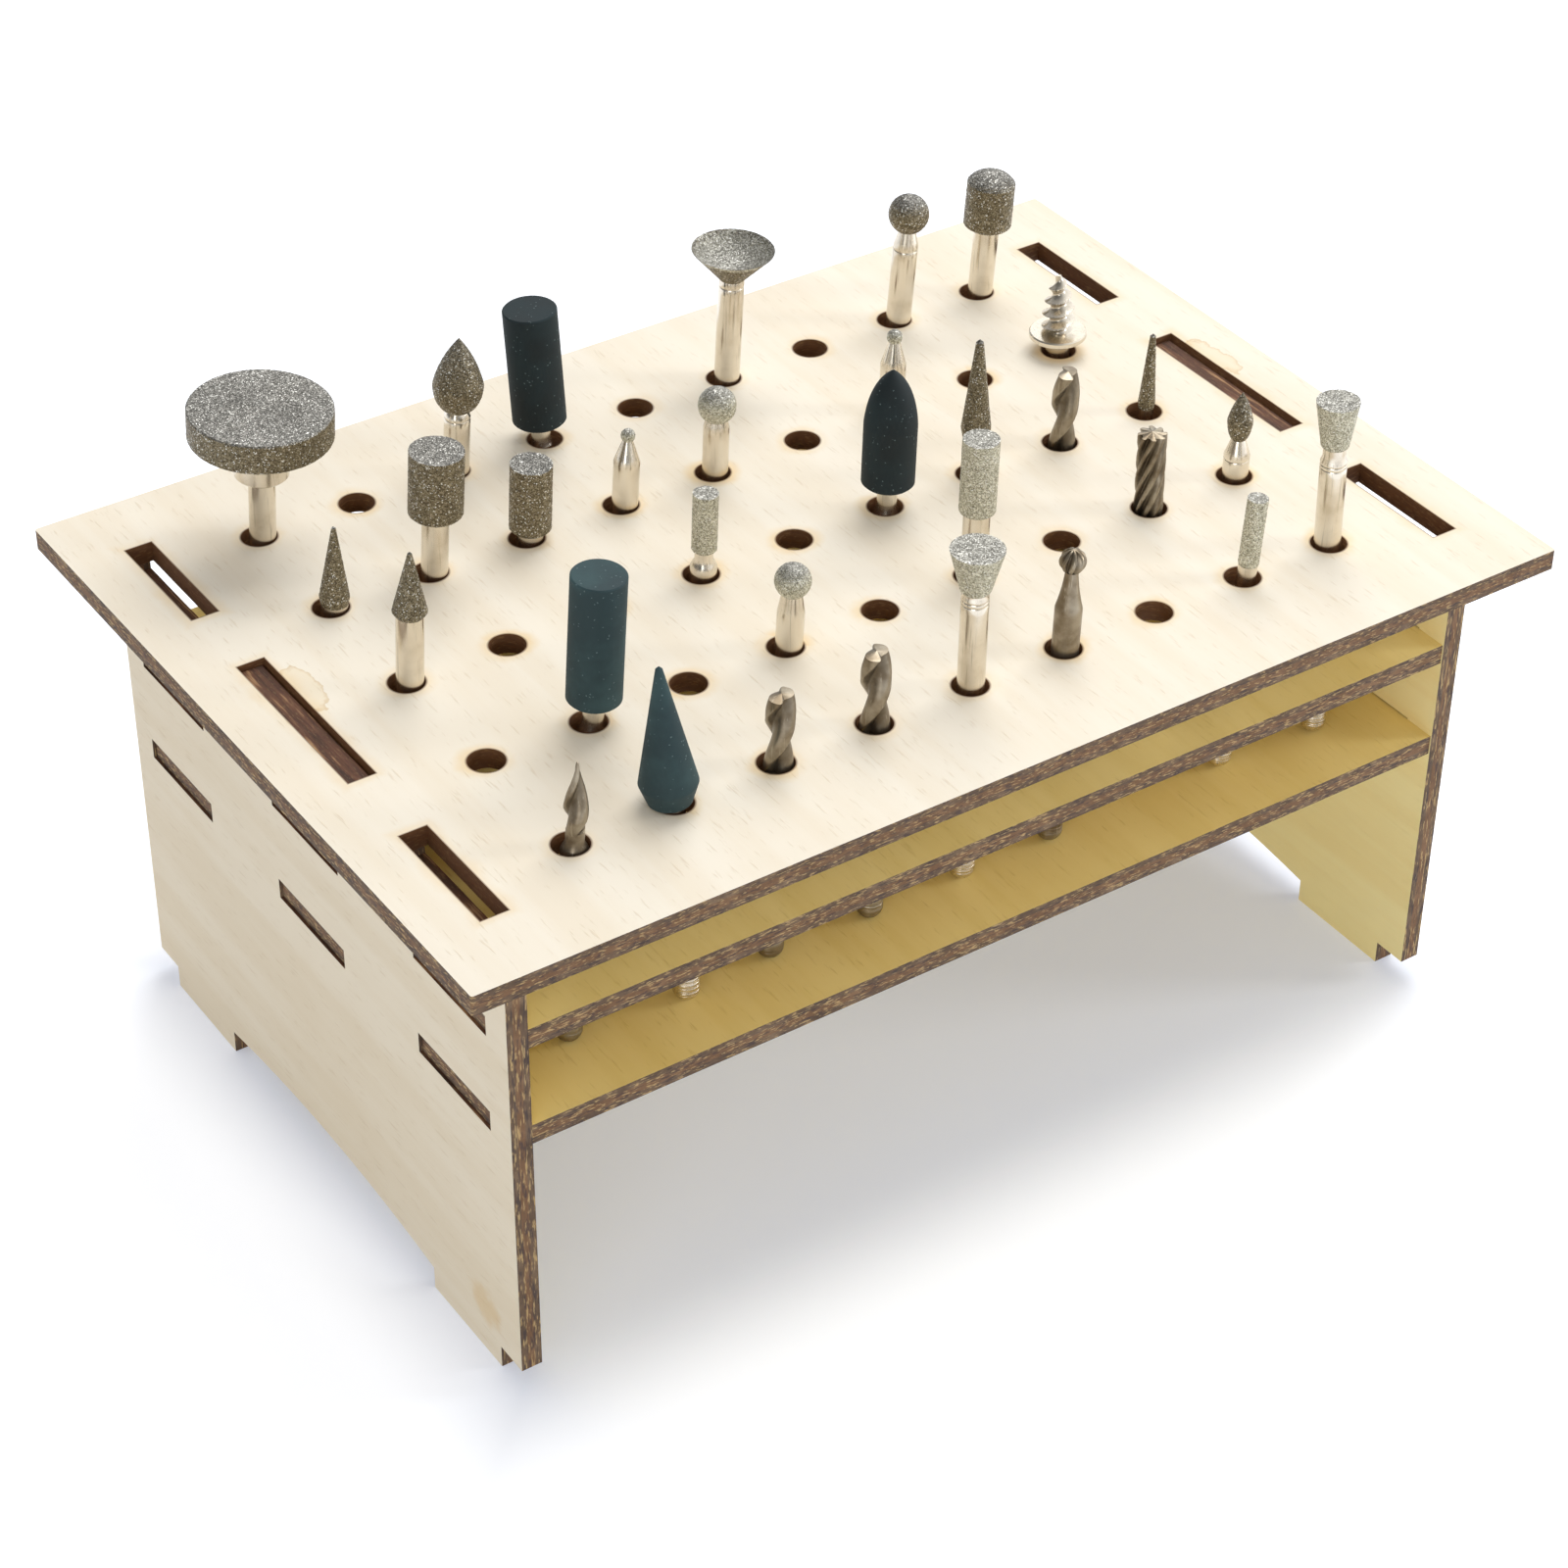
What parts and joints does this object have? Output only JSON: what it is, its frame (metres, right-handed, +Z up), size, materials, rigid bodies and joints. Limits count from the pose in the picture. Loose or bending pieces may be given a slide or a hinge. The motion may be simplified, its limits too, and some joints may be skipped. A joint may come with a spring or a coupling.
{
  "type": "rotary tool storage caddy",
  "caption": "Stackable laser-cut plywood stand whose drilled top holds upright rotary tool bits: grinding burrs, rubber polishers and steel cutters that lift out.",
  "frame": {"origin": "centre of the footprint on the floor, under the middle of the top plate", "axes": "+X along the stand's long side, +Y to its back, +Z up"},
  "size_m": [0.146, 0.101, 0.085],
  "materials": {
    "plywood": "bare laser-cut birch plywood, scorched edges",
    "diamond_burr": "nickel plate with diamond grit head",
    "cutter_steel": "ground tool steel",
    "mandrel_steel": "nickel plated",
    "polisher_rubber": "matt abrasive rubber"
  },
  "bodies": {
    "stand": {"top_plate": "plywood", "left_panel": "plywood", "right_panel": "plywood", "guide_shelf": "plywood", "rest_shelf": "plywood"},
    "step_cutter_a1_body": {"step_cutter_a1": "cutter_steel"},
    "cone_polisher_a2_body": {"cone_polisher_a2_mandrel": "mandrel_steel", "cone_polisher_a2_rubber": "polisher_rubber"},
    "twist_cutter_a3_body": {"twist_cutter_a3": "cutter_steel"},
    "twist_cutter_a4_body": {"twist_cutter_a4": "cutter_steel"},
    "inverted_cone_burr_a5_body": {"inverted_cone_burr_a5": "diamond_burr"},
    "round_cutter_a6_body": {"round_cutter_a6": "cutter_steel"},
    "thin_cylinder_burr_a8_body": {"thin_cylinder_burr_a8": "diamond_burr"},
    "inverted_cone_burr_a9_body": {"inverted_cone_burr_a9": "diamond_burr"},
    "cylinder_polisher_b2_body": {"cylinder_polisher_b2_mandrel": "mandrel_steel", "cylinder_polisher_b2_rubber": "polisher_rubber"},
    "ball_burr_b4_body": {"ball_burr_b4": "diamond_burr"},
    "cylinder_burr_b6_body": {"cylinder_burr_b6": "diamond_burr"},
    "spiral_cutter_b8_body": {"spiral_cutter_b8": "cutter_steel"},
    "flame_burr_b9_body": {"flame_burr_b9": "diamond_burr"},
    "cone_burr_c1_body": {"cone_burr_c1": "diamond_burr"},
    "necked_cylinder_burr_c4_body": {"necked_cylinder_burr_c4": "diamond_burr"},
    "bullet_polisher_c6_body": {"bullet_polisher_c6_mandrel": "mandrel_steel", "bullet_polisher_c6_rubber": "polisher_rubber"},
    "needle_burr_c7_body": {"needle_burr_c7": "diamond_burr"},
    "twist_cutter_c8_body": {"twist_cutter_c8": "cutter_steel"},
    "needle_burr_c9_body": {"needle_burr_c9": "diamond_burr"},
    "cone_burr_d1_body": {"cone_burr_d1": "diamond_burr"},
    "cylinder_burr_d2_body": {"cylinder_burr_d2": "diamond_burr"},
    "cylinder_burr_d3_body": {"cylinder_burr_d3": "diamond_burr"},
    "point_burr_d4_body": {"point_burr_d4": "diamond_burr"},
    "ball_burr_d5_body": {"ball_burr_d5": "diamond_burr"},
    "point_burr_d7_body": {"point_burr_d7": "diamond_burr"},
    "screw_mandrel_d9_body": {"screw_mandrel_d9": "mandrel_steel"},
    "wheel_burr_e1_body": {"wheel_burr_e1": "diamond_burr"},
    "flame_burr_e3_body": {"flame_burr_e3": "diamond_burr"},
    "cylinder_polisher_e4_body": {"cylinder_polisher_e4_mandrel": "mandrel_steel", "cylinder_polisher_e4_rubber": "polisher_rubber"},
    "cup_burr_e6_body": {"cup_burr_e6": "diamond_burr"},
    "ball_burr_e8_body": {"ball_burr_e8": "diamond_burr"},
    "domed_burr_e9_body": {"domed_burr_e9": "diamond_burr"}
  },
  "joints": [
    {"name": "step_cutter_a1_lift", "type": "slide", "parent": "stand", "child": "step_cutter_a1_body", "axis": [0.0421, -0.0317, 0.9986], "range_m": [0, 0.032]},
    {"name": "cone_polisher_a2_lift", "type": "slide", "parent": "stand", "child": "cone_polisher_a2_body", "axis": [-0.047, 0.0354, 0.9983], "range_m": [0, 0.032]},
    {"name": "twist_cutter_a3_lift", "type": "slide", "parent": "stand", "child": "twist_cutter_a3_body", "axis": [0.0248, -0.0187, 0.9995], "range_m": [0, 0.032]},
    {"name": "twist_cutter_a4_lift", "type": "slide", "parent": "stand", "child": "twist_cutter_a4_body", "axis": [0.0025, -0.0019, 1], "range_m": [0, 0.032]},
    {"name": "inverted_cone_burr_a5_lift", "type": "slide", "parent": "stand", "child": "inverted_cone_burr_a5_body", "axis": [0.005, -0.0037, 1], "range_m": [0, 0.032]},
    {"name": "round_cutter_a6_lift", "type": "slide", "parent": "stand", "child": "round_cutter_a6_body", "axis": [0.0178, -0.0134, 0.9998], "range_m": [0, 0.032]},
    {"name": "thin_cylinder_burr_a8_lift", "type": "slide", "parent": "stand", "child": "thin_cylinder_burr_a8_body", "axis": [0.0396, -0.0298, 0.9988], "range_m": [0, 0.032]},
    {"name": "inverted_cone_burr_a9_lift", "type": "slide", "parent": "stand", "child": "inverted_cone_burr_a9_body", "axis": [-0.0188, 0.0142, 0.9997], "range_m": [0, 0.032]},
    {"name": "cylinder_polisher_b2_lift", "type": "slide", "parent": "stand", "child": "cylinder_polisher_b2_body", "axis": [0.0445, -0.0335, 0.9984], "range_m": [0, 0.032]},
    {"name": "ball_burr_b4_lift", "type": "slide", "parent": "stand", "child": "ball_burr_b4_body", "axis": [0.0356, -0.0269, 0.999], "range_m": [0, 0.032]},
    {"name": "cylinder_burr_b6_lift", "type": "slide", "parent": "stand", "child": "cylinder_burr_b6_body", "axis": [0.0124, -0.0093, 0.9999], "range_m": [0, 0.032]},
    {"name": "spiral_cutter_b8_lift", "type": "slide", "parent": "stand", "child": "spiral_cutter_b8_body", "axis": [-0.0099, 0.0075, 0.9999], "range_m": [0, 0.032]},
    {"name": "flame_burr_b9_lift", "type": "slide", "parent": "stand", "child": "flame_burr_b9_body", "axis": [0.0074, -0.0056, 1], "range_m": [0, 0.032]},
    {"name": "cone_burr_c1_lift", "type": "slide", "parent": "stand", "child": "cone_burr_c1_body", "axis": [0.0381, -0.0287, 0.9989], "range_m": [0, 0.032]},
    {"name": "necked_cylinder_burr_c4_lift", "type": "slide", "parent": "stand", "child": "necked_cylinder_burr_c4_body", "axis": [0.0248, -0.0187, 0.9995], "range_m": [0, 0.032]},
    {"name": "bullet_polisher_c6_lift", "type": "slide", "parent": "stand", "child": "bullet_polisher_c6_body", "axis": [0.0163, -0.0123, 0.9998], "range_m": [0, 0.032]},
    {"name": "needle_burr_c7_lift", "type": "slide", "parent": "stand", "child": "needle_burr_c7_body", "axis": [0.0025, -0.0019, 1], "range_m": [0, 0.032]},
    {"name": "twist_cutter_c8_lift", "type": "slide", "parent": "stand", "child": "twist_cutter_c8_body", "axis": [0.0213, -0.016, 0.9996], "range_m": [0, 0.032]},
    {"name": "needle_burr_c9_lift", "type": "slide", "parent": "stand", "child": "needle_burr_c9_body", "axis": [0.0178, -0.0134, 0.9998], "range_m": [0, 0.032]},
    {"name": "cone_burr_d1_lift", "type": "slide", "parent": "stand", "child": "cone_burr_d1_body", "axis": [0.0411, -0.0309, 0.9987], "range_m": [0, 0.032]},
    {"name": "cylinder_burr_d2_lift", "type": "slide", "parent": "stand", "child": "cylinder_burr_d2_body", "axis": [0.0494, -0.0373, 0.9981], "range_m": [0, 0.032]},
    {"name": "cylinder_burr_d3_lift", "type": "slide", "parent": "stand", "child": "cylinder_burr_d3_body", "axis": [0.0371, -0.028, 0.9989], "range_m": [0, 0.032]},
    {"name": "point_burr_d4_lift", "type": "slide", "parent": "stand", "child": "point_burr_d4_body", "axis": [0.0445, -0.0335, 0.9984], "range_m": [0, 0.032]},
    {"name": "ball_burr_d5_lift", "type": "slide", "parent": "stand", "child": "ball_burr_d5_body", "axis": [0.0248, -0.0187, 0.9995], "range_m": [0, 0.032]},
    {"name": "point_burr_d7_lift", "type": "slide", "parent": "stand", "child": "point_burr_d7_body", "axis": [0.0149, -0.0112, 0.9998], "range_m": [0, 0.032]},
    {"name": "screw_mandrel_d9_lift", "type": "slide", "parent": "stand", "child": "screw_mandrel_d9_body", "axis": [-0.0149, 0.0112, 0.9998], "range_m": [0, 0.032]},
    {"name": "wheel_burr_e1_lift", "type": "slide", "parent": "stand", "child": "wheel_burr_e1_body", "axis": [0.0445, -0.0335, 0.9984], "range_m": [0, 0.032]},
    {"name": "flame_burr_e3_lift", "type": "slide", "parent": "stand", "child": "flame_burr_e3_body", "axis": [0.0494, -0.0373, 0.9981], "range_m": [0, 0.032]},
    {"name": "cylinder_polisher_e4_lift", "type": "slide", "parent": "stand", "child": "cylinder_polisher_e4_body", "axis": [-0.0396, 0.0298, 0.9988], "range_m": [0, 0.032]},
    {"name": "cup_burr_e6_lift", "type": "slide", "parent": "stand", "child": "cup_burr_e6_body", "axis": [0.0361, -0.0272, 0.999], "range_m": [0, 0.032]},
    {"name": "ball_burr_e8_lift", "type": "slide", "parent": "stand", "child": "ball_burr_e8_body", "axis": [0.0494, -0.0373, 0.9981], "range_m": [0, 0.032]},
    {"name": "domed_burr_e9_lift", "type": "slide", "parent": "stand", "child": "domed_burr_e9_body", "axis": [0.0435, -0.0328, 0.9985], "range_m": [0, 0.032]}
  ]
}
